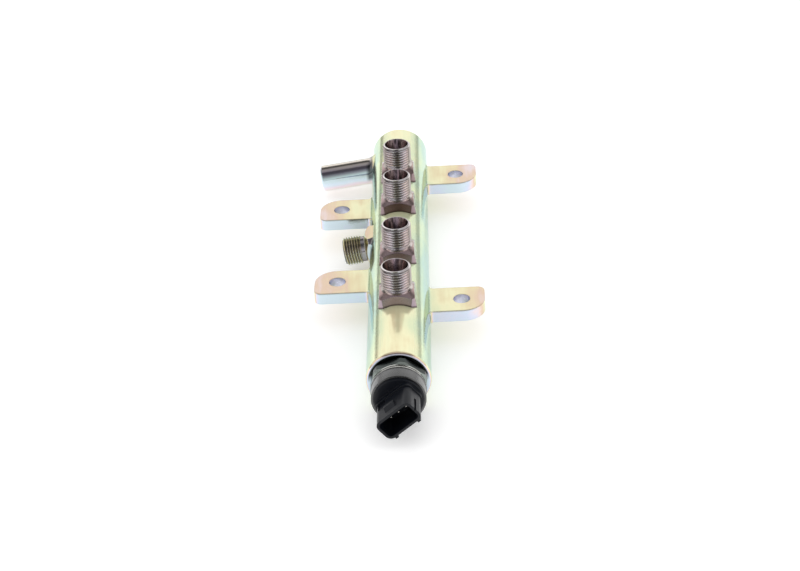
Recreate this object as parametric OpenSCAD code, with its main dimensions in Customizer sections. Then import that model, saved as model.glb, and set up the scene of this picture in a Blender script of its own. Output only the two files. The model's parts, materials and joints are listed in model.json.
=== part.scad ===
// High-pressure fuel rail for a four-cylinder engine: one forged and drilled steel body with
// four threaded outlets on top, a threaded inlet and a plain spigot on one side, four fixing
// lugs, and a pressure sensor screwed into one end.
// The origin is the centre of the blind end face. The tube runs along -Y to the sensor end,
// the outlets point along +Z, and the inlet and spigot point towards -X.

/* [Tube] */
// Outer diameter of the tube
tube_d = 33; // [31:0.5:36]
// Length of the tube from the blind end to the sensor end
tube_len = 255; // [250:1:280]
// Diameter of the pressure gallery along the axis
gallery_d = 9; // [7:0.5:11]
// Steel left between the gallery and the blind end
blind_wall = 12; // [8:1:20]
// Rounding of the rim at the blind end
blind_round = 2.5; // [1:0.5:4]
// Rounding of the rim at the sensor end
sensor_end_round = 1.6; // [0.4:0.2:2]

/* [Outlets] */
// Distance from the blind end to the first outlet
outlet_1_from_end = 59.5; // [55:0.5:65]
// Spacing of the two outlets nearest the blind end
far_pair_gap = 39; // [36:0.5:45]
// Spacing of the two middle outlets
middle_gap = 56.5; // [50:0.5:65]
// Spacing of the two outlets nearest the sensor
near_pair_gap = 45; // [40:0.5:48]
// Height of the outlet rims above the tube's axis
outlet_reach = 35; // [33:0.5:40]
// Height of the outlet blocks above the tube's axis
outlet_block_top = 21.8; // [20.5:0.1:23]

/* [Threaded studs] */
// Outer diameter of the thread on outlets and inlet
stud_d = 16; // [14:0.5:18]
// Diameter of the plain neck below the thread
neck_d = 14.1; // [13:0.1:14.4]
// Length of the plain neck below an outlet's thread
neck_len = 1.8; // [1:0.1:3]
// Chamfer at the end of the thread
stud_chamfer = 0.8; // [0.4:0.1:1]
// Width of the square block under each stud, at the tube's surface
block_w = 19.4; // [19:0.1:21]
// Draft of the block's sides, in degrees
block_draft = 7; // [0:0.5:8]
// Diameter that the block's corners are turned to, at its foot
block_corner_d = 24.6; // [23:0.1:26]
// Slope of the turned chamfer on top of the block, in degrees
block_top_slope = 32; // [20:1:45]
// Diameter of the sealing cone at the rim
cone_mouth_d = 13.5; // [12:0.1:13.8]
// Included angle of the sealing cone
cone_angle = 24; // [20:1:30]
// Diameter where the sealing cone ends on its shoulder
cone_end_d = 8.4; // [7:0.1:9]
// Diameter of the cross drilling into the gallery
port_d = 3; // [2:0.2:3.4]

/* [Inlet and spigot] */
// Distance from the blind end to the inlet
inlet_from_end = 114.4; // [110:0.2:120]
// Distance of the inlet rim from the tube's axis
inlet_reach = 31.4; // [30:0.2:36]
// Distance of the inlet block's face from the tube's axis
inlet_block_top = 18.6; // [18:0.1:20]
// Length of the plain neck between the inlet's block and its thread
inlet_neck_len = 3.6; // [1:0.1:4]
// Distance from the blind end to the spigot
spigot_from_end = 18.4; // [17:0.2:22]
// Diameter of the spigot
spigot_d = 16; // [12:0.5:18]
// Distance of the spigot's end from the tube's axis
spigot_reach = 48; // [35:1:60]
// Chamfer at the spigot's end
spigot_chamfer = 0.8; // [0.4:0.1:1.5]
// Rounding where the spigot leaves the tube
spigot_root_round = 5; // [2:0.5:6]
// Angle by which inlet and spigot point below the level of the lugs
side_droop = 7.5; // [0:0.5:15]

/* [Lugs] */
// Thickness of the lugs
lug_t = 6.5; // [5:0.5:9]
// Width of the lugs along the tube
lug_w = 24; // [22:0.5:28]
// Distance of the lugs' ends from the tube's axis
lug_reach = 45.8; // [43:0.1:52]
// Distance of the fixing holes from the tube's axis
lug_hole_x = 33.4; // [31:0.1:37]
// Diameter of the fixing holes
lug_hole_d = 9; // [8:0.1:10.5]
// Radius of each lug's large corner
lug_big_round = 12; // [8:0.5:12]
// Radius of each lug's small corner
lug_small_round = 4; // [2:0.5:6]
// Rounding where the lugs leave the tube
lug_root_round = 2; // [1:0.25:3]
// Distance from the blind end to the first left lug
left_lug_from_end = 78; // [74:0.5:82]
// Spacing of the two left lugs
left_lug_gap = 82.5; // [80:0.5:90]
// Distance from the blind end to the first right lug
right_lug_from_end = 39.5; // [30:0.5:60]
// Spacing of the two right lugs
right_lug_gap = 144.5; // [120:0.5:180]

/* [Throttles] */
// Diameter of the pressed-in throttles
throttle_d = 4; // [3.6:0.1:5]
// Length of the throttles
throttle_len = 6; // [4:0.5:8]
// Diameter of the throttle hole
throttle_hole_d = 0.9; // [0.6:0.1:1.5]

/* [Sensor] */
// Outer diameter of the sensor's screw thread
sensor_thread_d = 18; // [16:0.5:20]
// Depth of the sensor's threaded hole
sensor_hole_len = 16; // [14:0.5:20]
// Hexagon across its flats
hex_af = 27; // [26.2:0.1:28]
// Diameter that the hexagon's corners are turned to
hex_turned_d = 29.7; // [29:0.1:30.2]
// Thickness of the hexagon
hex_t = 5; // [4:0.5:8]
// Gap between the hexagon and the tube, because the screw seals at its nose
hex_gap = 0.8; // [0.5:0.1:1.5]
// Angle of the hexagon about the tube's axis
hex_turn = 20; // [0:1:60]
// Outer diameter of the metal sleeve
sleeve_d = 27.4; // [26.5:0.1:28]
// Wall of the metal sleeve
sleeve_wall = 0.8; // [0.5:0.1:0.9]
// Length of the metal sleeve
sleeve_len = 10.6; // [10.2:0.1:13]
// Diameter of the pressure hole through the screw
sensor_hole_d = 3; // [2:0.2:4]
// Outer diameter of the measuring cell
cell_d = 7.2; // [6:0.2:8]
// Thickness of the circuit board
board_t = 1; // [0.8:0.1:1.2]

/* [Connector] */
// Long outer side of the connector shell
shell_w = 21.5; // [20:0.1:22]
// Short outer side of the connector shell
shell_h = 12; // [11:0.1:13]
// Corner radius of the connector shell
shell_round = 3.4; // [2.5:0.1:4]
// Wall of the connector shell
shell_wall = 1.3; // [1:0.1:1.6]
// Length of the connector shell in front of the housing disc
shell_len = 17.6; // [15:0.2:20]
// Depth of the socket inside the shell
socket_depth = 15; // [12:0.5:15]
// Width of the two guide ribs under the shell
rib_w = 1.6; // [1:0.1:2]
// Height of the guide ribs
rib_rise = 1.3; // [0.8:0.1:1.6]
// Length of the guide ribs
rib_len = 8.4; // [6:0.2:11]
// Distance of each guide rib from the shell's middle
rib_x = 7.2; // [6.5:0.1:7.4]
// Width of the latch nose on top of the shell
latch_w = 6.4; // [5:0.1:8]
// Height of the latch nose
latch_rise = 1.5; // [1:0.1:1.8]
// Length of the latch nose along the shell
latch_len = 4; // [3:0.1:5]
// Distance of the latch nose from the rim
latch_from_rim = 7.5; // [6:0.1:9]
// Width of the wide slot in the shell's top
wide_slot_w = 4.6; // [3:0.1:4.8]
// Length of the wide slot
wide_slot_len = 5.4; // [4:0.1:7]
// Width of the key slot at the shell's end
key_slot_w = 1.4; // [1:0.1:2]
// Length of the key slot
key_slot_len = 8; // [6:0.2:10]
// Depth of the slots
slot_depth = 0.8; // [0.5:0.1:0.9]
// Distance of the slots and ribs from the edges beside them
slot_inset = 2.6; // [2.2:0.1:2.8]
// Angle of the connector about the tube's axis
connector_turn = 39; // [0:1:90]
// Width of a contact pin
pin_w = 1.5; // [1:0.1:2]
// Thickness of a contact pin
pin_t = 0.8; // [0.6:0.1:1]
// Spacing of the contact pins
pin_gap = 4.9; // [4:0.1:5.5]
// Length of the pins that stands free in the socket
pin_free = 7; // [5:0.5:8]
// Thickness of the contact springs' strip
spring_t = 0.3; // [0.2:0.05:0.4]
// Width of a contact spring
spring_w = 1.2; // [0.8:0.1:1.4]
// Length of a spring's foot on the board
spring_foot = 2.4; // [1.8:0.1:2.8]
// Length of a spring's arm from its foot to the pin
spring_arm = 3.6; // [3.2:0.1:4]

/* [Fits] */
// Radial clearance of the throttles in their seats
throttle_fit = 0.01; // [0:0.01:0.03]
// Radial clearance of the sensor's screw in its hole
screw_fit = 0.05; // [0.02:0.01:0.1]
// Clearance of the pieces inside the sensor
inner_fit = 0.05; // [0.02:0.01:0.1]

/* [Hidden] */
$fn = 96;

zinc_yellow = "#e0dca8";
zinc_brown = "#8a7470";
steel = "#b8bcbe";
black_plastic = "#1d2122";

tube_r = tube_d / 2;
stud_r = stud_d / 2;
outlet_y = [-outlet_1_from_end,
            -outlet_1_from_end - far_pair_gap,
            -outlet_1_from_end - far_pair_gap - middle_gap,
            -outlet_1_from_end - far_pair_gap - middle_gap - near_pair_gap];
reach_in = 4;                          // how far side pieces start inside the tube's wall
blend_bite = 0.05;                     // how deep a rounding runs into the tube
root_slope = 25;                       // slope at which the spigot's rounding enters the tube
cut = 1;                               // how far cutters run past what they cut
rib_inset = 0.6;                       // how far ribs and slots stop short of the shell's rim

cone_depth = (cone_mouth_d - cone_end_d) / 2 / tan(cone_angle / 2);
throttle_inset = 0.5;

// Places inside the sensor, measured outwards from the tube's end face
hex_front = hex_gap + hex_t;
base_t = 1.2;                          // thickness of the base in front of the hexagon
base_front = hex_front + base_t;
sleeve_front = hex_front + sleeve_len;
sleeve_in_r = sleeve_d / 2 - sleeve_wall;
lip_t = 0.6;
lip_in_r = sleeve_in_r - 0.25;
flange_front = sleeve_front - lip_t;
disc_front = sleeve_front + 1;
seal_r = 0.95;                         // radius of the seal's round section
seal_room = 2 * (seal_r + inner_fit);
skirt_in_r = sleeve_in_r - 2;
board_r = skirt_in_r - 0.5;
carrier_h = 3.2;                       // height of the ring that carries the board
board_back = base_front + carrier_h;
board_front = board_back + board_t;
chamber_h = 2.4;                       // room in front of the board
chamber_front = board_front + chamber_h;
shell_front = disc_front + shell_len;
socket_floor = shell_front - socket_depth;
pin_front = socket_floor + pin_free;

// A flat outline drawn with x outwards and y along the height, run along the Y axis
module along_y(length) {
    rotate([90, 0, 0]) linear_extrude(length, center = true) children();
}

// Outward frame of the sensor: +Z leaves the tube's sensor end
module at_sensor() {
    translate([0, -tube_len, 0]) rotate([90, 0, 0]) children();
}

// Frame of a side piece: +Z leaves the tube's left side, drooping a little
module at_side(from_end) {
    translate([0, -from_end, 0]) rotate([0, -90 - side_droop, 0]) children();
}

// Rounded rectangle with true arcs
module rounded_rect(w, h, r) {
    square([w - 2 * r, h], center = true);
    square([w, h - 2 * r], center = true);
    for (sx = [-1, 1], sy = [-1, 1])
        translate([sx * (w / 2 - r), sy * (h / 2 - r)]) circle(r);
}

module tube_outline() {
    r = blind_round;
    q = sensor_end_round;
    square([tube_r - max(r, q), tube_len]);
    translate([0, r]) square([tube_r, tube_len - r - q]);
    translate([tube_r - r, r]) circle(r);
    translate([0, tube_len / 2]) square([tube_r - q, tube_len / 2]);
    translate([tube_r - q, tube_len - q]) circle(q);
}

// Square block with drafted sides, turned corners and a turned chamfer on top
module stud_block(top) {
    foot = tube_r - reach_in;
    foot_half = block_w / 2 + reach_in * tan(block_draft);
    top_half = block_w / 2 - (top - tube_r) * tan(block_draft);
    side = [[-foot_half, foot], [foot_half, foot], [top_half, top], [-top_half, top]];
    corner_r = block_corner_d / 2;
    crown_r = stud_r + 0.6;
    crown_drop = (corner_r - crown_r) * tan(block_top_slope);
    intersection() {
        along_y(2 * block_w) polygon(side);
        rotate([0, 0, 90]) along_y(2 * block_w) polygon(side);
        rotate_extrude() polygon([[0, foot], [corner_r, foot], [corner_r, top - crown_drop],
                                  [crown_r, top], [0, top]]);
    }
}

// Threaded stud: neck, thread cylinder and end chamfer
module stud(block_top, reach, neck) {
    neck_r = neck_d / 2;
    thread_start = block_top + neck;
    flank = stud_r - neck_r;
    rotate_extrude() polygon([[0, block_top - cut], [stud_r + 0.4, block_top - cut],
                              [stud_r + 0.4, block_top], [neck_r, block_top + 0.6],
                              [neck_r, thread_start - flank], [stud_r, thread_start],
                              [stud_r, reach - stud_chamfer], [stud_r - stud_chamfer, reach],
                              [0, reach]]);
}

// Sealing cone, throttle seat and cross drilling of one stud
module stud_drilling(reach) {
    seat_top = reach - cone_depth;
    cone_slope = tan(cone_angle / 2);
    rotate_extrude() polygon([[0, 0], [port_d / 2, 0],
                              [port_d / 2, seat_top - throttle_inset - throttle_len],
                              [throttle_d / 2, seat_top - throttle_inset - throttle_len],
                              [throttle_d / 2, seat_top], [cone_end_d / 2, seat_top],
                              [cone_mouth_d / 2 + cut * cone_slope, reach + cut], [0, reach + cut]]);
}

// Outline of a lug seen from above, pointing along +X, large corner towards -Y
module lug_outline() {
    end = lug_reach;
    half = lug_w / 2;
    big = lug_big_round;
    small = lug_small_round;
    root = lug_root_round;
    start = tube_r - reach_in;
    translate([start, -half]) square([end - big - start, lug_w]);
    translate([end - big - cut, -half + big]) square([big + cut, lug_w - big - small]);
    translate([end - big - cut, half - small - cut]) square([big - small + cut, small + cut]);
    translate([end - big, -half + big]) circle(big);
    translate([end - small, half - small]) circle(small);
    for (side = [-1, 1]) difference() {
        translate([start, side > 0 ? half - cut : -half - root])
            square([tube_r + root - start, root + cut]);
        translate([tube_r + root, side * (half + root)]) circle(root);
    }
}

// One lug with its fixing hole, and the rounding between its faces and the tube
module lug() {
    root = lug_root_round;
    centre_z = lug_t / 2 + root;
    centre_x = sqrt(pow(tube_r + root - blend_bite, 2) - pow(centre_z, 2));
    difference() {
        union() {
            linear_extrude(lug_t, center = true) lug_outline();
            along_y(lug_w) difference() {
                translate([tube_r - reach_in, -centre_z])
                    square([centre_x - tube_r + reach_in, 2 * centre_z]);
                for (sz = [-1, 1]) translate([centre_x, sz * centre_z]) circle(root);
                for (sz = [-1, 1]) translate([centre_x - root, sz * (centre_z + root / 2)])
                    square([3 * root, root], center = true);
            }
        }
        translate([lug_hole_x, 0, 0]) cylinder(d = lug_hole_d, h = lug_t + 2 * cut, center = true);
    }
}

module spigot() {
    r = spigot_d / 2;
    root = spigot_root_round;
    inner = tube_r / 2;
    start = tube_r + root * sin(root_slope);
    flare = root * (1 - cos(root_slope));
    rotate_extrude() {
        polygon([[0, inner], [r, inner], [r, spigot_reach - spigot_chamfer],
                 [r - spigot_chamfer, spigot_reach], [0, spigot_reach]]);
        difference() {
            polygon([[r - root / 2, start], [r - root / 2, inner],
                     [r + flare + (tube_r - inner) * tan(root_slope), inner],
                     [r + flare, tube_r], [r + root / 2, start]]);
            translate([r + root, start]) circle(root);
        }
    }
}

module rail_body() {
    color(zinc_yellow) difference() {
        union() {
            rotate([90, 0, 0]) rotate_extrude() tube_outline();
            for (y = outlet_y) translate([0, y, 0]) {
                stud_block(outlet_block_top);
                stud(outlet_block_top, outlet_reach, neck_len);
            }
            at_side(inlet_from_end) {
                stud_block(inlet_block_top);
                stud(inlet_block_top, inlet_reach, inlet_neck_len);
            }
            at_side(spigot_from_end) spigot();
            for (d = [right_lug_from_end, right_lug_from_end + right_lug_gap])
                translate([0, -d, 0]) lug();
            for (d = [left_lug_from_end, left_lug_from_end + left_lug_gap])
                translate([0, -d, 0]) rotate([0, 0, 180]) lug();
        }
        for (y = outlet_y) translate([0, y, 0]) stud_drilling(outlet_reach);
        at_side(inlet_from_end) stud_drilling(inlet_reach);
        translate([0, -blind_wall, 0]) rotate([90, 0, 0])
            cylinder(d = gallery_d, h = tube_len - blind_wall + cut);
        at_sensor() translate([0, 0, -sensor_hole_len])
            cylinder(d = sensor_thread_d, h = sensor_hole_len + cut);
    }
}

// Pressed-in throttle, standing on the shoulder of its seat
module throttle(reach) {
    seat = reach - cone_depth - throttle_inset - throttle_len;
    color(steel) difference() {
        translate([0, 0, seat]) cylinder(r = throttle_d / 2 - throttle_fit, h = throttle_len);
        translate([0, 0, seat - cut]) cylinder(d = throttle_hole_d, h = throttle_len + 2 * cut);
        translate([0, 0, seat + throttle_len - 0.8])
            cylinder(r1 = throttle_hole_d / 2, r2 = throttle_hole_d / 2 + 0.81, h = 0.81);
    }
}

module outlet_throttle(i) {
    translate([0, outlet_y[i], 0]) throttle(outlet_reach);
}

module inlet_throttle() {
    at_side(inlet_from_end) throttle(inlet_reach);
}

// Screw-in foot of the sensor: sealing nose, thread, hexagon and base of the sleeve
module sensor_screw() {
    thread_r = sensor_thread_d / 2 - screw_fit;
    nose_r = thread_r - 2;
    corner_r = hex_turned_d / 2;
    face_r = hex_af / 2 - 0.2;
    bevel = (corner_r - face_r) * tan(30);
    hole_r = sensor_hole_d / 2;
    color(steel) at_sensor() difference() {
        union() {
            rotate_extrude() polygon([[0, -sensor_hole_len], [nose_r, -sensor_hole_len],
                [nose_r, -sensor_hole_len + 2], [thread_r, -sensor_hole_len + 3],
                [thread_r, -1.5], [thread_r - 0.9, -0.9], [thread_r - 0.9, hex_gap + cut],
                [0, hex_gap + cut]]);
            intersection() {
                rotate([0, 0, hex_turn]) translate([0, 0, hex_gap])
                    cylinder(d = hex_af / cos(30), h = hex_t, $fn = 6);
                rotate_extrude() polygon([[0, hex_gap - cut], [face_r, hex_gap - cut],
                    [face_r, hex_gap], [corner_r, hex_gap + bevel], [corner_r, hex_front - bevel],
                    [face_r, hex_front], [face_r, hex_front + cut], [0, hex_front + cut]]);
            }
            translate([0, 0, hex_front - cut])
                cylinder(r = sleeve_in_r - inner_fit, h = base_front - hex_front + cut);
        }
        translate([0, 0, -sensor_hole_len - cut])
            cylinder(r = hole_r, h = base_front + sensor_hole_len + 2 * cut);
        rotate_extrude() polygon([[0, -sensor_hole_len - 0.01], [hole_r + 1.2, -sensor_hole_len - 0.01],
            [hole_r, -sensor_hole_len + 1.2], [0, -sensor_hole_len + 1.2]]);
    }
}

// Steel cup whose thin floor bends under the fuel's pressure
module measuring_cell() {
    floor_t = 0.5;
    cell_h = 2.6;
    color(steel) at_sensor() translate([0, 0, base_front]) difference() {
        union() {
            cylinder(d = cell_d, h = cell_h);
            cylinder(d = cell_d + 1.6, h = 0.6);
        }
        translate([0, 0, -cut]) cylinder(d = sensor_hole_d, h = cut + cell_h - floor_t - 0.4);
        translate([0, 0, cell_h - floor_t - 1.4]) cylinder(d = cell_d - 2, h = 1.4);
    }
}

// Ring that carries the circuit board above the measuring cell
module board_carrier() {
    carrier_in_r = cell_d / 2 + 1.4;
    color("#4a4d50") at_sensor() translate([0, 0, base_front]) difference() {
        cylinder(r = board_r, h = board_back - base_front);
        translate([0, 0, -cut]) cylinder(r = carrier_in_r, h = board_back - base_front + 2 * cut);
        for (a = [0 : 120 : 240]) rotate([0, 0, a + connector_turn])
            translate([(board_r + carrier_in_r) / 2, 0, -cut])
                cylinder(d = 2.4, h = board_back - base_front + 2 * cut);
    }
}

// Round board with a window over the measuring cell
module circuit_board() {
    color("#3a6b44") at_sensor() translate([0, 0, board_back]) difference() {
        cylinder(r = board_r, h = board_t);
        translate([0, 0, -cut]) cylinder(d = cell_d - 1, h = board_t + 2 * cut);
    }
}

module amplifier_chip() {
    chip = 3.6;
    color("#2a2c2e") at_sensor() rotate([0, 0, connector_turn])
        translate([-chip / 2, -board_r + 1.4, board_front]) cube([chip, chip, 1]);
}

// Three bent strips that join the board to the pins
module contact_spring(i) {
    room = chamber_front - board_front - inner_fit;
    color("#c9a24a") at_sensor() rotate([0, 0, connector_turn])
        translate([(i - 1) * pin_gap, spring_arm, board_front]) rotate([90, 0, 90])
            linear_extrude(spring_w, center = true) {
                square([spring_foot, spring_t]);
                square([spring_t, room]);
                translate([-spring_arm, room - spring_t]) square([spring_arm + spring_t, spring_t]);
            }
}

// Metal sleeve, rolled over the housing's flange at its front edge
module sensor_sleeve() {
    outer_r = sleeve_d / 2;
    bead_at = hex_front + 2.8;
    bead_r = 0.35;
    color(steel) at_sensor() difference() {
        rotate_extrude() {
            translate([0, hex_front]) square([outer_r, sleeve_len - 0.3]);
            polygon([[0, sleeve_front - 0.31], [outer_r, sleeve_front - 0.31],
                     [outer_r - 0.3, sleeve_front], [0, sleeve_front]]);
            translate([outer_r - 0.05, bead_at]) circle(bead_r);
        }
        translate([0, 0, hex_front - cut]) cylinder(r = sleeve_in_r, h = sleeve_len + cut - lip_t);
        translate([0, 0, sleeve_front - lip_t - cut]) cylinder(r = lip_in_r, h = lip_t + 2 * cut);
    }
}

module housing_seal() {
    color("#26292b") at_sensor() translate([0, 0, base_front + seal_r + inner_fit])
        rotate_extrude() translate([sleeve_in_r - seal_r - inner_fit, 0]) circle(seal_r);
}

module shell_block(w, h, r, from, to) {
    translate([0, 0, from]) linear_extrude(to - from) rounded_rect(w, h, r);
}

// Ribs, latch nose and slots on the outside of the connector shell
module shell_ribs() {
    for (sx = [-1, 1])
        translate([sx * rib_x - rib_w / 2, -shell_h / 2 - rib_rise, shell_front - rib_len - rib_inset])
            cube([rib_w, rib_rise + cut, rib_len]);
    translate([-latch_w / 2, shell_h / 2 - cut, shell_front - latch_from_rim]) rotate([0, 90, 0])
        linear_extrude(latch_w) polygon([[0, 0], [0, cut + latch_rise],
            [-latch_len / 3, cut + latch_rise], [-latch_len, cut], [-latch_len, 0]]);
}

module shell_slots() {
    translate([-shell_w / 2 + slot_inset, shell_h / 2 - slot_depth, disc_front + slot_inset])
        cube([wide_slot_w, slot_depth + cut, wide_slot_len]);
    translate([shell_w / 2 - slot_depth, -key_slot_w / 2, shell_front - rib_inset - key_slot_len])
        cube([slot_depth + cut, key_slot_w, key_slot_len + rib_inset + cut]);
}

module connector_housing() {
    outer_r = lip_in_r - inner_fit;
    flange_r = sleeve_in_r - inner_fit;
    skirt_back = base_front + seal_room;
    pin_room = inner_fit / 2;
    color(black_plastic) at_sensor() difference() {
        union() {
            rotate_extrude() polygon([[skirt_in_r, skirt_back], [flange_r, skirt_back],
                [flange_r, flange_front - inner_fit], [outer_r, flange_front - inner_fit],
                [outer_r, disc_front - 0.5], [outer_r - 0.5, disc_front], [0, disc_front],
                [0, chamber_front], [skirt_in_r, chamber_front]]);
            rotate([0, 0, connector_turn]) {
                shell_block(shell_w, shell_h, shell_round, disc_front - cut, shell_front);
                shell_block(shell_w + 1, shell_h + 1.6, shell_round + 0.5, disc_front - cut,
                            disc_front + 2.6);
                shell_ribs();
            }
        }
        rotate([0, 0, connector_turn]) {
            shell_block(shell_w - 2 * shell_wall, shell_h - 2 * shell_wall,
                        shell_round - shell_wall, socket_floor, shell_front + cut);
            for (i = [-1 : 1]) translate([i * pin_gap, 0, (chamber_front + socket_floor) / 2])
                cube([pin_w + 2 * pin_room, pin_t + 2 * pin_room,
                      socket_floor - chamber_front + 2 * cut], center = true);
            shell_slots();
        }
    }
}

// Flat contact pin with a pointed tip
module contact_pin(i) {
    tip = 1.2;
    back = chamber_front - inner_fit / 2;
    color("#d8d4c8") at_sensor() rotate([0, 0, connector_turn]) translate([(i - 1) * pin_gap, 0, 0])
        intersection() {
            rotate([90, 0, 0]) linear_extrude(pin_t, center = true)
                polygon([[-pin_w / 2, back], [pin_w / 2, back], [pin_w / 2, pin_front - tip],
                         [pin_w / 5, pin_front], [-pin_w / 5, pin_front],
                         [-pin_w / 2, pin_front - tip]]);
            rotate([90, 0, 90]) linear_extrude(2 * pin_w, center = true)
                polygon([[-pin_t / 2, back], [pin_t / 2, back], [pin_t / 2, pin_front - tip],
                         [pin_t / 5, pin_front], [-pin_t / 5, pin_front],
                         [-pin_t / 2, pin_front - tip]]);
        }
}

rail_body();
outlet_throttle(0);  // throttle_1
outlet_throttle(1);  // throttle_2
outlet_throttle(2);  // throttle_3
outlet_throttle(3);  // throttle_4
inlet_throttle();  // throttle_inlet
sensor_screw();
measuring_cell();
board_carrier();
circuit_board();
amplifier_chip();
contact_spring(0);  // contact_spring_1
contact_spring(1);  // contact_spring_2
contact_spring(2);  // contact_spring_3
sensor_sleeve();
housing_seal();
connector_housing();
contact_pin(0);  // contact_pin_1
contact_pin(1);  // contact_pin_2
contact_pin(2);  // contact_pin_3
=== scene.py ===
import json
import math
from collections import namedtuple

import bpy
import bmesh
from mathutils import Matrix, Vector


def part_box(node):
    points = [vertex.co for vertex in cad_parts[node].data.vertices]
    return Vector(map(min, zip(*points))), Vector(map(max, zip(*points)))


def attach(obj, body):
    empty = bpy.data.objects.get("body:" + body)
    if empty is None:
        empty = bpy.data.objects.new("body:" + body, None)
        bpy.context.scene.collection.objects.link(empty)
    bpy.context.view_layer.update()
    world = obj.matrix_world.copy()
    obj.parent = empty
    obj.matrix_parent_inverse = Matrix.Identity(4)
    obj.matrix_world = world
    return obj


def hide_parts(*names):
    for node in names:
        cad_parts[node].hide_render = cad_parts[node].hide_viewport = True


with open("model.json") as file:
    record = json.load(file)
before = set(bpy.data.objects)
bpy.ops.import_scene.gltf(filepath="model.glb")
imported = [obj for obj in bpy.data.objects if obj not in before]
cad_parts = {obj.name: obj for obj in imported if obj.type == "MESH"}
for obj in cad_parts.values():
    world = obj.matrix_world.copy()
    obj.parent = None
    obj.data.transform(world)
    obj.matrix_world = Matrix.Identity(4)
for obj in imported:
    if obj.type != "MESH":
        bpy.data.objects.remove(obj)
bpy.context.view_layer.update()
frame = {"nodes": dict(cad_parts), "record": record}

# A fuel rail: its finishes and real threads, and the floor, light and camera round it.
# Lengths are in metres. The tube runs along -Y to the sensor, and the outlets stand along +Z.

# ---------------------------------------------------------------- places from the frame
MM = 0.001
nodes = frame["nodes"]
mounts = {mount["name"]: mount for mount in frame["record"]["mounts"]}
scene = bpy.context.scene

body_low, body_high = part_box("rail_body")
low_z = body_low.z
top_z = body_high.z
tube_r = -low_z
tube_end = body_low.y
spigot_y = mounts["spigot"]["pos_m"][1]
spigot_r = mounts["spigot"]["dims"]["r_mm"] * MM


# ---------------------------------------------------------------- node trees
def new_material(name):
    mat = bpy.data.materials.new(name)
    mat.use_nodes = True
    return mat, mat.node_tree


def add(tree, kind, **settings):
    node = tree.nodes.new(kind)
    for name, value in settings.items():
        setattr(node, name, value)
    return node


def feed(tree, socket, value):
    """Links an output to a socket, or sets the socket to a number or a colour."""
    if isinstance(value, bpy.types.NodeSocket):
        tree.links.new(value, socket)
    elif isinstance(value, tuple):
        socket.default_value = value + (1.0,)
    else:
        socket.default_value = value


def set_shader(tree, values):
    """Sets or links the inputs of a material's shader by name."""
    inputs = tree.nodes["Principled BSDF"].inputs
    for name, value in values.items():
        feed(tree, inputs[name], value)


def position(tree):
    return add(tree, "ShaderNodeNewGeometry").outputs["Position"]


def facing(tree):
    return add(tree, "ShaderNodeNewGeometry").outputs["Normal"]


def split(tree, vector):
    node = add(tree, "ShaderNodeSeparateXYZ")
    tree.links.new(vector, node.inputs[0])
    return tuple(node.outputs)


def math_node(tree, operation, *values):
    node = add(tree, "ShaderNodeMath", operation=operation)
    for socket, value in zip(node.inputs, values):
        feed(tree, socket, value)
    return node.outputs[0]


def magnitude(tree, value):
    return math_node(tree, "ABSOLUTE", value)


def total(tree, result, *terms):
    for term in terms:
        result = math_node(tree, "ADD", result, term)
    return result


def product(tree, result, *factors):
    for factor in factors:
        result = math_node(tree, "MULTIPLY", result, factor)
    return result


def remap(tree, value, between, to=(0.0, 1.0)):
    """Takes the range between two values to another one, and holds its ends beyond them."""
    node = add(tree, "ShaderNodeMapRange")
    for socket, number in zip(node.inputs[1:], between + to):
        socket.default_value = number
    tree.links.new(value, node.inputs[0])
    return node.outputs[0]


def noise(tree, scale, detail=2.0, rough=0.55, stretch=(1, 1, 1), seed=0.0):
    """Noise that is fixed to the part, with its scale in waves per metre."""
    mapping = add(tree, "ShaderNodeMapping")
    mapping.inputs["Scale"].default_value = stretch
    mapping.inputs["Location"].default_value = (seed, seed * 0.7, -seed)
    tree.links.new(position(tree), mapping.inputs[0])
    node = add(tree, "ShaderNodeTexNoise")
    node.inputs["Scale"].default_value = scale
    node.inputs["Detail"].default_value = detail
    node.inputs["Roughness"].default_value = rough
    tree.links.new(mapping.outputs[0], node.inputs["Vector"])
    return node.outputs["Fac"]


def vary(tree, to, start=0.3, **noise_settings):
    """Noise taken to another range: what lies between start and 0.7 fills it."""
    return remap(tree, noise(tree, **noise_settings), (start, 0.7), to)


def ramp(tree, value, stops):
    """A scale of colours from 0 to 1. A stop that is one number is a grey."""
    node = add(tree, "ShaderNodeValToRGB")
    elements = node.color_ramp.elements
    while len(elements) < len(stops):
        elements.new(0.5)
    for element, (place, color) in zip(elements, stops):
        element.position = place
        element.color = (color if isinstance(color, tuple) else (color,) * 3) + (1.0,)
    tree.links.new(value, node.inputs[0])
    return node.outputs[0]


def mix(tree, share, a, b, blend="MIX"):
    node = add(tree, "ShaderNodeMix", data_type="RGBA", blend_type=blend)
    for index, value in ((0, share), (6, a), (7, b)):
        feed(tree, node.inputs[index], value)
    return node.outputs[2]


def tint(tree, color, by):
    return mix(tree, 1.0, color, by, "MULTIPLY")


def bump(tree, height, strength, distance, normal):
    node = add(tree, "ShaderNodeBump")
    node.inputs["Strength"].default_value = strength
    node.inputs["Distance"].default_value = distance
    tree.links.new(height, node.inputs["Height"])
    tree.links.new(normal, node.inputs["Normal"])
    return node.outputs[0]


def bevel(tree, radius):
    """The surface's direction with its edges rounded."""
    node = add(tree, "ShaderNodeBevel", samples=6)
    node.inputs["Radius"].default_value = radius
    return node.outputs[0]


def tube_radius(tree):
    """Distance from the tube's axis."""
    x, _, z = split(tree, position(tree))
    across = add(tree, "ShaderNodeCombineXYZ")
    tree.links.new(x, across.inputs[0])
    tree.links.new(z, across.inputs[2])
    length = add(tree, "ShaderNodeVectorMath", operation="LENGTH")
    tree.links.new(across.outputs[0], length.inputs[0])
    return length.outputs["Value"]


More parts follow.
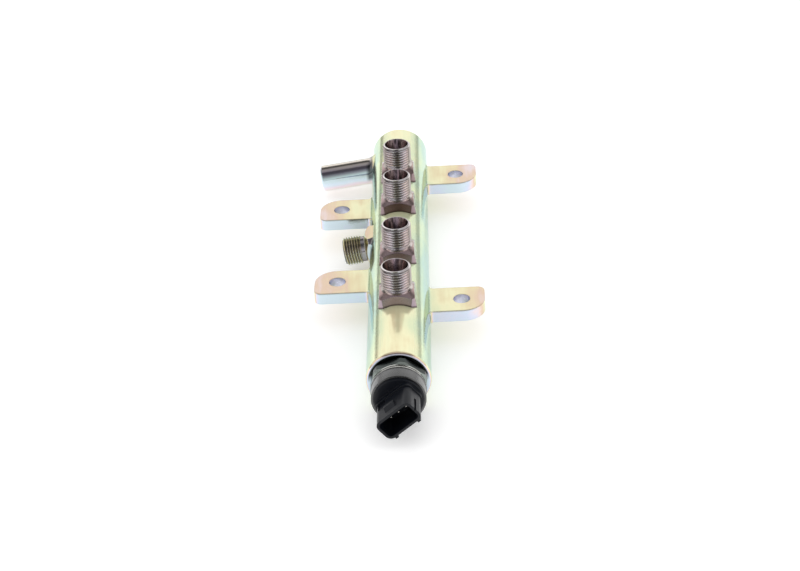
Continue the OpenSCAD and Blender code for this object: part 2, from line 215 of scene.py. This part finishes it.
# ---------------------------------------------------------------- the chromate film
# Colours that a chromate film on zinc runs through as it gets thicker or is met more squarely.
FILM = [
    (0.00, (0.50, 0.66, 0.66)),
    (0.14, (0.53, 0.68, 0.55)),
    (0.28, (0.72, 0.80, 0.53)),
    (0.42, (0.91, 0.87, 0.56)),
    (0.52, (0.82, 0.70, 0.44)),
    (0.61, (0.78, 0.58, 0.44)),
    (0.70, (0.84, 0.70, 0.70)),
    (0.80, (0.72, 0.71, 0.82)),
    (0.90, (0.64, 0.70, 0.84)),
    (1.00, (0.62, 0.73, 0.80)),
]

# Place of a surface that faces up on the tube, on that scale
FILM_ON_TOP = 0.40

# The same round the spigot: pink below, blue in front, violet and cream on top.
SPIGOT_FILM = [
    (0.00, (0.97, 0.87, 0.82)),
    (0.15, (0.98, 0.86, 0.85)),
    (0.27, (0.92, 0.82, 0.90)),
    (0.40, (0.72, 0.82, 0.92)),
    (0.55, (0.61, 0.73, 0.79)),
    (0.70, (0.50, 0.62, 0.63)),
    (0.86, (0.55, 0.49, 0.64)),
    (1.00, (0.93, 0.84, 0.74)),
]


def plate_film(tree, shift):
    """The film's colour goes by the way the surface faces, where it lies, and a light clouding."""
    x, y, _ = split(tree, position(tree))
    facing_x, facing_y, facing_z = split(tree, facing(tree))
    side = math_node(tree, "POWER", magnitude(tree, facing_x), 1.6)
    side = product(tree, side, remap(tree, y, (tube_end + 5 * MM, -40 * MM), (-0.40, -0.26)))
    front = math_node(tree, "MAXIMUM", product(tree, facing_y, -1.0), product(tree, facing_y, 0.7))
    front = product(tree, front, remap(tree, facing_z, (0.0, 0.8), (1.0, 0.55)), 0.46)
    outward = remap(tree, magnitude(tree, x), (14 * MM, 44 * MM), (0.0, 0.21))
    end = remap(tree, y, (tube_end + 1 * MM, tube_end + 45 * MM), (0.13, 0.0))
    cloud = vary(tree, (-0.085, 0.085), scale=34.0, rough=0.5, seed=1.3)
    streak = vary(tree, (-0.035, 0.045), start=0.35, scale=260.0, rough=0.6, stretch=(1, 0.09, 1), seed=9.0)
    patch = vary(tree, (-0.03, 0.03), scale=120.0, detail=3.0, rough=0.6, stretch=(1, 0.6, 1), seed=4.0)
    place = total(tree, side, front, outward, end, cloud, streak, patch, FILM_ON_TOP + shift)
    return ramp(tree, place, FILM)


def spigot_film(tree, shift):
    """The film runs through its colours from the spigot's underside to its top."""
    _, _, facing_z = split(tree, facing(tree))
    turn = remap(tree, facing_z, (-1.0, 1.0))
    cloud = vary(tree, (-0.03, 0.03), scale=90.0, rough=0.5, seed=3.0)
    return ramp(tree, total(tree, turn, cloud, shift), SPIGOT_FILM)


# ---------------------------------------------------------------- marks on the plate, and painted light and shade
# Each takes the colour that the plate has so far and returns the new one.
# Painted reflections round a stud, from its left side to its right: light and dark upright bands, dark at
# both edges
STUD_REFLECTIONS = [
    (0.00, 0.30), (0.14, 0.62), (0.30, 0.66), (0.40, 0.95), (0.46, 0.48),
    (0.57, 0.45), (0.64, 1.00), (0.74, 0.80), (0.88, 0.66), (1.00, 0.28)]


def cloudy_tops(tree, color):
    """The film is cloudy on the tube's crown and the tops of the lugs, so that they mirror less."""
    _, _, facing_z = split(tree, facing(tree))
    set_shader(tree, {"Metallic": remap(tree, facing_z, (0.7, 0.95), (1.0, 0.5))})
    return color


def painted_seat_shade(tree, color):
    """Painted shade: the upper half of the end face is darkened round the sensor's seat, standing for the
    shadowed recess next to the hexagon.
    """
    _, y, z = split(tree, position(tree))
    seat = product(
        tree,
        remap(tree, tube_radius(tree), (tube_r * 0.92, tube_r * 0.95), (1.0, 0.0)),
        remap(tree, z, (0.0, 4 * MM)),
        remap(tree, y, (tube_end, tube_end + 1 * MM), (1.0, 0.0)))
    return mix(tree, seat, color, (0.035, 0.04, 0.038))


def painted_lug_edge_lines(tree, color):
    """Painted reflection: a thin dark line runs along the lugs' edges, from top to front and from underside
    to back, for the dark that these edges mirror.
    """
    _, rounded_y, rounded_z = split(tree, bevel(tree, 1.5 * MM))
    edge = product(
        tree,
        remap(tree, product(tree, rounded_y, rounded_z, -2.0), (0.3, 0.8), (0.0, 0.75)),
        remap(tree, tube_radius(tree), (tube_r + 1 * MM, tube_r + 2 * MM)))
    return mix(tree, edge, color, (0.16, 0.15, 0.07))


def painted_spigot_root_shade(tree, color):
    """Painted shade darkens the corner in which the spigot's front and back run into the tube."""
    x, y, _ = split(tree, position(tree))
    _, _, facing_z = split(tree, facing(tree))
    aside = magnitude(tree, total(tree, y, -spigot_y))
    root = product(
        tree,
        remap(tree, x, (-tube_r - 4.2 * MM, -tube_r - 2.2 * MM), (0.0, 0.85)),
        remap(tree, x, (-tube_r - 0.2 * MM, -tube_r + 0.6 * MM), (1.0, 0.0)),
        remap(tree, aside, (spigot_r + 1 * MM, spigot_r + 4 * MM), (1.0, 0.0)),
        remap(tree, facing_z, (-0.5, -0.1)),
        remap(tree, facing_z, (0.72, 0.92), (1.0, 0.0)))
    return mix(tree, root, color, (0.05, 0.055, 0.05))


def painted_block_front_shade(tree, color):
    """Painted shade and reflection: the blocks' fronts and backs are darkened, more from the fourth outlet
    to the second, for the dark things that they mirror.
    """
    _, y, _ = split(tree, position(tree))
    _, facing_y, _ = split(tree, facing(tree))
    along = remap(tree, y, (mounts["outlet_4"]["pos_m"][1], mounts["outlet_2"]["pos_m"][1]))
    dark = mix(tree, along, (0.50, 0.50, 0.55), (0.21, 0.16, 0.15))
    turned = remap(tree, magnitude(tree, facing_y), (0.35, 0.9))
    return mix(tree, turned, color, tint(tree, color, dark))


def painted_block_foot_shadow(tree, color):
    """Painted shadow: a dark line runs round the foot of each block, where it meets the tube."""
    foot = remap(tree, tube_radius(tree), (tube_r + 0.4 * MM, tube_r + 1.2 * MM), (0.8, 0.0))
    return mix(tree, foot, color, (0.03, 0.02, 0.012))


def painted_groove_shade(tree, color):
    """Painted shade darkens the threads' grooves, by the depth that make_thread keeps at each point."""
    depth = add(tree, "ShaderNodeAttribute", attribute_name="groove").outputs["Fac"]
    return mix(tree, remap(tree, depth, (0.3, 1.0), (0.0, 0.6)), color, (0.06, 0.05, 0.04))


def painted_stud_reflections(tree, color):
    """Painted reflections: light and dark upright bands along a stud, by the way it faces from its left
    side to its right.
    """
    facing_x, _, _ = split(tree, facing(tree))
    return tint(tree, color, ramp(tree, remap(tree, facing_x, (-1.0, 1.0)), STUD_REFLECTIONS))


def painted_bright_rims(tree, color):
    """Painted light: the outlets' rims are painted pale where they face up, and mirror less."""
    _, _, z = split(tree, position(tree))
    _, _, facing_z = split(tree, facing(tree))
    rim_light = product(
        tree,
        remap(tree, facing_z, (0.45, 0.6)),
        remap(tree, z, (top_z - 1 * MM, top_z - 0.7 * MM)))
    set_shader(tree, {"Metallic": remap(tree, rim_light, (0.0, 1.0), (1.0, 0.5))})
    return mix(tree, rim_light, color, (0.92, 0.86, 0.85))


def painted_mouth_streaks(tree, color):
    """Painted reflection: fine upright light and dark streaks run down the mouths, for the stripes that
    their walls mirror.
    """
    lines = vary(tree, (0.2, 1.8), start=0.35, scale=700.0, rough=0.5, stretch=(1, 1, 0.04), seed=5.0)
    return tint(tree, color, lines)


# ---------------------------------------------------------------- materials
def zinc(name, shift=0.0, film=plate_film, veil=None, shade=None, rough=0.13,
         gloss_tint=(0.84, 0.91, 0.90), marks_and_painted_light=()):
    """Zinc plate under an iridescent film, which a veil (share, colour) dulls and a shade darkens."""
    mat, tree = new_material(name)
    color = film(tree, shift)
    if veil:
        share, veil_color = veil
        color = mix(tree, share, color, veil_color)
    if shade:
        color = tint(tree, color, (shade, shade * 0.97, shade * 0.95))
    set_shader(tree, {"Metallic": 1.0})
    for overlay in marks_and_painted_light:
        color = overlay(tree, color)
    set_shader(tree, {
        "Base Color": color,
        "Specular Tint": gloss_tint,
        "Roughness": vary(tree, (rough * 0.8, rough * 1.3), scale=900.0, detail=4.0, rough=0.6, seed=2.0),
        "Normal": bump(tree, noise(tree, scale=260.0, detail=3.0), strength=0.06, distance=0.6 * MM,
                       normal=bevel(tree, 0.4 * MM)),
    })
    return mat


def metal(name, color, rough, edge=0.2 * MM):
    """Bare metal. Its colour is given, or built by a function in the material's tree."""
    mat, tree = new_material(name)
    set_shader(tree, {
        "Metallic": 1.0,
        "Base Color": color(tree) if callable(color) else color,
        "Roughness": vary(tree, (rough * 0.92, rough * 1.08), scale=400.0),
        "Normal": bevel(tree, edge),
    })
    return mat


def plastic(name, color, rough):
    mat, tree = new_material(name)
    set_shader(tree, {
        "Base Color": color,
        "Specular IOR Level": 0.25,
        "Roughness": vary(tree, (rough * 0.95, rough * 1.08), scale=900.0),
        "Normal": bump(tree, noise(tree, scale=900.0), strength=0.05, distance=0.2 * MM,
                       normal=bevel(tree, 0.3 * MM)),
    })
    return mat


# Painted highlights along the sensor's sleeve, from its inner rim to its outer one: a bright ring, a
# painted dark groove, a second bright ring, then grey that darkens outward
SLEEVE_GLINTS = [
    (0.0, (0.75, 0.76, 0.72)), (0.06, (0.70, 0.71, 0.67)),
    (0.075, (0.05, 0.05, 0.045)), (0.155, (0.09, 0.085, 0.075)),
    (0.17, (0.70, 0.70, 0.66)), (0.215, (0.60, 0.60, 0.56)),
    (0.24, 0.19), (0.6, 0.17), (1.0, 0.13)]


# Painted highlights and a painted groove: the sleeve's tones by where a point lies along it
def painted_sleeve_glints(tree):
    _, y, _ = split(tree, position(tree))
    sleeve_low, sleeve_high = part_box("sensor_sleeve")
    return ramp(tree, remap(tree, y, (sleeve_low.y, sleeve_high.y), (1.0, 0.0)), SLEEVE_GLINTS)


def painted_hexagon_shade_and_glint(tree):
    """Painted shade and highlight: the flats are painted dark for the dark that they mirror, and the turned
    chamfers that face along the axis are painted brighter.
    """
    _, facing_y, _ = split(tree, facing(tree))
    turned = remap(tree, magnitude(tree, facing_y), (0.2, 0.5))
    return mix(tree, turned, (0.06, 0.072, 0.068), (0.26, 0.29, 0.27))


MATERIALS = {
    "yellow_zinc": zinc("yellow_zinc", marks_and_painted_light=(cloudy_tops, painted_seat_shade, painted_lug_edge_lines, painted_spigot_root_shade)),
    "spigot_zinc": zinc("spigot_zinc", film=spigot_film, marks_and_painted_light=(painted_spigot_root_shade,)),
    # The blocks' veil and shade are partly painted shade: they darken the blocks for the dark things that
    # their faces mirror.
    "block_zinc": zinc("block_zinc", shift=0.22, veil=(0.8, (0.62, 0.47, 0.50)), shade=0.9, rough=0.18,
                       marks_and_painted_light=(painted_block_front_shade, painted_block_foot_shadow)),
    "thread_zinc": zinc("thread_zinc", shift=0.16, veil=(0.7, (0.90, 0.84, 0.87)), rough=0.16,
                        gloss_tint=(0.45, 0.40, 0.44), marks_and_painted_light=(painted_groove_shade, painted_stud_reflections, painted_bright_rims)),
    # The mouths' veil and shade are partly painted shade, darkening the inside of each mouth as a recess.
    "bore_zinc": zinc("bore_zinc", shift=0.16, veil=(0.75, (0.60, 0.50, 0.54)), shade=0.7, rough=0.17,
                      marks_and_painted_light=(painted_mouth_streaks,)),
    "inlet_zinc": zinc("inlet_zinc", shift=0.13),
    "inlet_thread_zinc": zinc("inlet_thread_zinc", veil=(0.4, (0.50, 0.46, 0.28)), shade=0.9,
                              rough=0.16, marks_and_painted_light=(painted_groove_shade,)),
    "hole_zinc": zinc("hole_zinc", shift=0.3, veil=(0.75, (0.66, 0.64, 0.78)), rough=0.3),
    "bright_steel": metal("bright_steel", (0.62, 0.61, 0.60), rough=0.22),
    "sensor_steel": metal("sensor_steel", painted_hexagon_shade_and_glint, rough=0.22, edge=0.4 * MM),
    "sleeve_steel": metal("sleeve_steel", painted_sleeve_glints, rough=0.26),
    "contact_brass": metal("contact_brass", (0.78, 0.60, 0.30), rough=0.25),
    "tinned_pin": metal("tinned_pin", (0.75, 0.72, 0.66), rough=0.25, edge=0.1 * MM),
    "inner_plastic": plastic("inner_plastic", (0.07, 0.075, 0.08), rough=0.5),
    "board_green": plastic("board_green", (0.03, 0.12, 0.05), rough=0.35),
    "black_plastic": plastic("black_plastic", (0.0045, 0.0055, 0.0085), rough=0.30),
    "seal_rubber": plastic("seal_rubber", (0.015, 0.015, 0.015), rough=0.6),
}

# The sleeve shares the sensor's slot in the record, and has its own finish here.
for part in frame["record"]["subparts"]:
    finish = "sleeve_steel" if part["node"] == "sensor_sleeve" else part["material_slot"]
    finishes = nodes[part["node"]].data.materials
    finishes.clear()
    finishes.append(MATERIALS[finish])

# ---------------------------------------------------------------- threads
PITCH = 1.5 * MM
THREAD_DEPTH = 0.613 * PITCH
# Shares of the pitch that are flat crest and flat root
CREST_SHARE = 0.14
ROOT_SHARE = 0.22
# Points round the thread in a turn
COLUMNS = 128
# The core under the thread lies this much deeper than its roots.
CORE_GAP = 0.03 * MM
# The thread runs on past the top end of the mount's stretch, up to the rim's chamfer.
RUN_OUT = 0.8 * MM
# How far outside a thread's ends, and outside any other surface, a point still counts
END_SLACK = 0.02 * MM
SLACK = 0.1 * MM
# Edges that turn by more than this stay sharp.
SHARP_ANGLE = math.radians(25)

Stud = namedtuple("Stud", "thread base axis crest core low high thread_finish block_finish")


def stud_at(mount_name, thread, thread_finish, block_finish):
    """A stud's axis from its base on the tube's axis, its radii, and its thread's ends along it."""
    mount = mounts[mount_name]
    place = Vector(mount["pos_m"])
    base = Vector((0, place.y, 0))
    middle = (place - base).length
    half = mount["dims"]["length_mm"] * MM / 2
    crest = mount["dims"]["r_mm"] * MM
    core = crest - THREAD_DEPTH - CORE_GAP
    axis = Vector(mount["axis"]).normalized()
    return Stud(thread, base, axis, crest, core, middle - half, middle + half,
                thread_finish, block_finish)


STUDS = [stud_at(f"outlet_{i}", f"thread_{i}", "thread_zinc", "block_zinc") for i in (1, 2, 3, 4)]
STUDS.append(stud_at("inlet", "thread_inlet", "inlet_thread_zinc", "inlet_zinc"))


def new_object(name, data):
    ob = bpy.data.objects.new(name, data)
    bpy.context.collection.objects.link(ob)
    return ob


def thread_radius(turn, crest):
    """Radius after a number of turns along one line: flat crest, sloped flanks, flat root."""
    from_crest = abs((turn + 0.5) % 1.0 - 0.5) * 2
    drop = (from_crest - CREST_SHARE) / (1 - ROOT_SHARE - CREST_SHARE)
    return crest - THREAD_DEPTH * min(max(drop, 0.0), 1.0)


def make_thread(stud):
    """The thread as a skin round the core, into which it tapers at both ends."""
    low, high = stud.low - (stud.crest - stud.core), stud.high + RUN_OUT
    corners = (0.0, CREST_SHARE / 2, (1 - ROOT_SHARE) / 2, (1 + ROOT_SHARE) / 2, 1 - CREST_SHARE / 2)
    last = int((high - low) / PITCH) + 2
    turns = [whole + corner for whole in range(-1, last) for corner in corners]
    turn_to = stud.axis.to_track_quat("Z", "Y").to_matrix()
    bm = bmesh.new()
    groove = bm.verts.layers.float.new("groove")
    grid = []
    for turn in turns:
        ring = []
        for column in range(COLUMNS + 1):
            angle = column * 2 * math.pi / COLUMNS
            z = min(max(low + turn * PITCH + PITCH * column / COLUMNS, low), high)
            r = min(thread_radius(turn, stud.crest), stud.core + (z - low), stud.core + (high - z))
            point = Vector((r * math.cos(angle), r * math.sin(angle), z))
            vertex = bm.verts.new(stud.base + turn_to @ point)
            vertex[groove] = (stud.crest - r) / THREAD_DEPTH
            ring.append(vertex)
        grid.append(ring)
    for a, b in zip(grid, grid[1:]):
        for column in range(COLUMNS):
            bm.faces.new((a[column], a[column + 1], b[column + 1], b[column]))
    bmesh.ops.remove_doubles(bm, verts=bm.verts, dist=0.0002 * MM)
    bmesh.ops.dissolve_degenerate(bm, edges=bm.edges, dist=0.0001 * MM)
    mesh = bpy.data.meshes.new(stud.thread)
    bm.to_mesh(mesh)
    bm.free()
    mesh.shade_smooth()
    mesh.set_sharp_from_angle(angle=SHARP_ANGLE)
    mesh.materials.append(MATERIALS[stud.thread_finish])
    return new_object(stud.thread, mesh)


def sink_core(ob, stud):
    """Draws the CAD's plain stud in to the core, under its thread."""
    to_world = ob.matrix_world.copy()
    to_mesh = to_world.inverted()
    for vertex in ob.data.vertices:
        place = to_world @ vertex.co - stud.base
        along = place.dot(stud.axis)
        out = place - stud.axis * along
        within = stud.low - END_SLACK < along < stud.high + RUN_OUT + END_SLACK
        if within and stud.core < out.length < stud.crest + SLACK:
            vertex.co = to_mesh @ (stud.base + stud.axis * along + out.normalized() * stud.core)


# ---------------------------------------------------------------- rail body
# Finishes of the body, in the order of its material slots
BODY_FINISHES = [
    "yellow_zinc", "bore_zinc", "thread_zinc", "block_zinc", "inlet_zinc", "hole_zinc", "spigot_zinc"]
# Radius of a stud's mouth, and how near to the tube's axis its finish goes
MOUTH_R = 6.65 * MM
MOUTH_FLOOR = 12 * MM
# Length of the plain neck under a thread that has the thread's finish
NECK = 3 * MM
# Radius round a stud's axis that holds its block with the rounding at its foot
BLOCK_R = 13.2 * MM
# How far beside the spigot its finish goes, on the rounding at its root
SPIGOT_ROOT = 1 * MM
LUG_HOLE_R = mounts["left_lug_holes"]["dims"]["hole_r_mm"] * MM + SLACK
LUG_HOLES = [
    Vector(mount["pos_m"]) + Vector((0, side * mount["dims"]["spacing_y_mm"] * MM / 2, 0))
    for mount in (mounts["left_lug_holes"], mounts["right_lug_holes"])
    for side in (-1, 1)]


def body_finish(place):
    """The finish of the body's surface at a place. A stud's goes before a hole's or the spigot's."""
    found = "yellow_zinc"
    if place.x < -tube_r and abs(place.y - spigot_y) < spigot_r + SPIGOT_ROOT:
        found = "spigot_zinc"
    if any((place - hole).xy.length < LUG_HOLE_R for hole in LUG_HOLES):
        found = "hole_zinc"
    for stud in STUDS:
        along = (place - stud.base).dot(stud.axis)
        out = (place - stud.base - stud.axis * along).length
        if out < MOUTH_R and along > MOUTH_FLOOR:
            found = "bore_zinc"
        elif out < stud.crest + 2 * SLACK and along > stud.low - NECK:
            found = "thread_zinc"
        elif out < BLOCK_R and along > 0 and math.hypot(place.x, place.z) > tube_r + SLACK:
            found = stud.block_finish
    return found


cad_body = nodes["rail_body"]
body = cad_body.copy()
body.name = "rail_body_detailed"
body.data = cad_body.data.copy()
bpy.context.collection.objects.link(body)
body.parent = None
body.matrix_world = cad_body.matrix_world.copy()
bpy.context.view_layer.update()
threads = []
for stud in STUDS:
    threads.append(make_thread(stud))
    sink_core(body, stud)
for finish in BODY_FINISHES[1:]:
    body.data.materials.append(MATERIALS[finish])
for face in body.data.polygons:
    face.material_index = BODY_FINISHES.index(body_finish(body.matrix_world @ face.center))

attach(body, "root")
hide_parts("rail_body")
for thread in threads:
    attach(thread, "root")

# ---------------------------------------------------------------- floor and its light
# A translucent product table, lit a little from below
FLOOR_HALF_WIDTH = 6.0
corners = [
    (x * FLOOR_HALF_WIDTH, y * FLOOR_HALF_WIDTH, low_z)
    for x, y in ((-1, -1), (1, -1), (1, 1), (-1, 1))]
mesh = bpy.data.meshes.new("floor")
mesh.from_pydata(corners, [], [(0, 1, 2, 3)])
floor_white, floor_tree = new_material("floor_white")
set_shader(floor_tree, {
    "Base Color": (0.93, 0.93, 0.93),
    "Roughness": 0.9,
    "Specular IOR Level": 0.1,
    "Emission Color": (1.0, 1.0, 1.0),
    "Emission Strength": 0.2,
})
mesh.materials.append(floor_white)
new_object("floor", mesh)

# A wide panel over the floor shines straight down, and the metal doesn't mirror it.
wash_light = bpy.data.lights.new("floor_wash", "AREA")
wash_light.size = 14.0
wash_light.energy = 470
wash = new_object("floor_wash", wash_light)
wash.location = (0, 0, 3.0)
wash.visible_glossy = False
wash.visible_camera = False

# ---------------------------------------------------------------- the studio that the metal mirrors
# Half a turn over the part, from the horizon behind it to the one on the camera's side: a bright
# wall, a dim panel overhead between two dark gaps, and a room that is brightest low down
ROOM = [
    (0.0, 0.62), (0.035, 0.66), (0.06, 1.0), (0.20, 1.0), (0.25, 0.07), (0.36, 0.08), (0.40, 0.33),
    (0.53, 0.33), (0.58, 0.09), (0.69, 0.10), (0.75, 0.25), (0.83, 0.48), (0.88, 0.72), (0.93, 0.9),
    (1.0, 0.8)]
SIDE_PANEL = (0.95, 0.95, 0.95)
SKIRTING = (0.25, 0.25, 0.25)

room = bpy.data.worlds.new("studio")
room.use_nodes = True
scene.world = room
tree = room.node_tree
x, y, z = split(tree, add(tree, "ShaderNodeTexCoord").outputs["Generated"])
half_turn = math_node(tree, "DIVIDE", math_node(tree, "ARCTAN2", z, y), math.pi)
sky = ramp(tree, half_turn, ROOM)
# Bright panels to the left and the right
panels = product(tree, remap(tree, magnitude(tree, x), (0.50, 0.62)),
                 remap(tree, z, (0.62, 0.72), (1.0, 0.0)))
sky = mix(tree, panels, sky, SIDE_PANEL)
# A dark skirting under them, stronger on the left
skirting = product(tree, total(tree, remap(tree, x, (-0.40, -0.30), (0.75, 0.0)),
                               remap(tree, x, (0.30, 0.40), (0.0, 0.25))),
                   remap(tree, z, (0.10, 0.13), (1.0, 0.0)))
sky = mix(tree, skirting, sky, SKIRTING)
tree.links.new(sky, tree.nodes["Background"].inputs["Color"])

# ---------------------------------------------------------------- camera
# A long lens a little to the right of the sensor end, looking down along the tube
CAMERA_ASIDE = 0.03064
CAMERA_BEFORE = 0.75437
CAMERA_ABOVE = 0.50105
# In radians: turned to the left, looking down, and rolled clockwise
yaw, pitch, roll = -0.03567, 0.53359, -0.065446

camera_data = bpy.data.cameras.new("camera")
camera_data.lens = 81.8
camera_data.sensor_width = 36.0
camera_data.clip_start = 0.01
camera_data.clip_end = 50
camera = new_object("camera", camera_data)
scene.camera = camera
camera.location = (CAMERA_ASIDE, tube_end - CAMERA_BEFORE, CAMERA_ABOVE)
forward = Vector((math.sin(yaw) * math.cos(pitch), math.cos(yaw) * math.cos(pitch), -math.sin(pitch)))
level = Vector((math.cos(yaw), -math.sin(yaw), 0))
upright = level.cross(forward)
right = math.cos(roll) * level + math.sin(roll) * upright
upward = -math.sin(roll) * level + math.cos(roll) * upright
camera.rotation_mode = "QUATERNION"
camera.rotation_quaternion = Matrix((right, upward, -forward)).transposed().to_quaternion()

scene.view_settings.view_transform = "Standard"
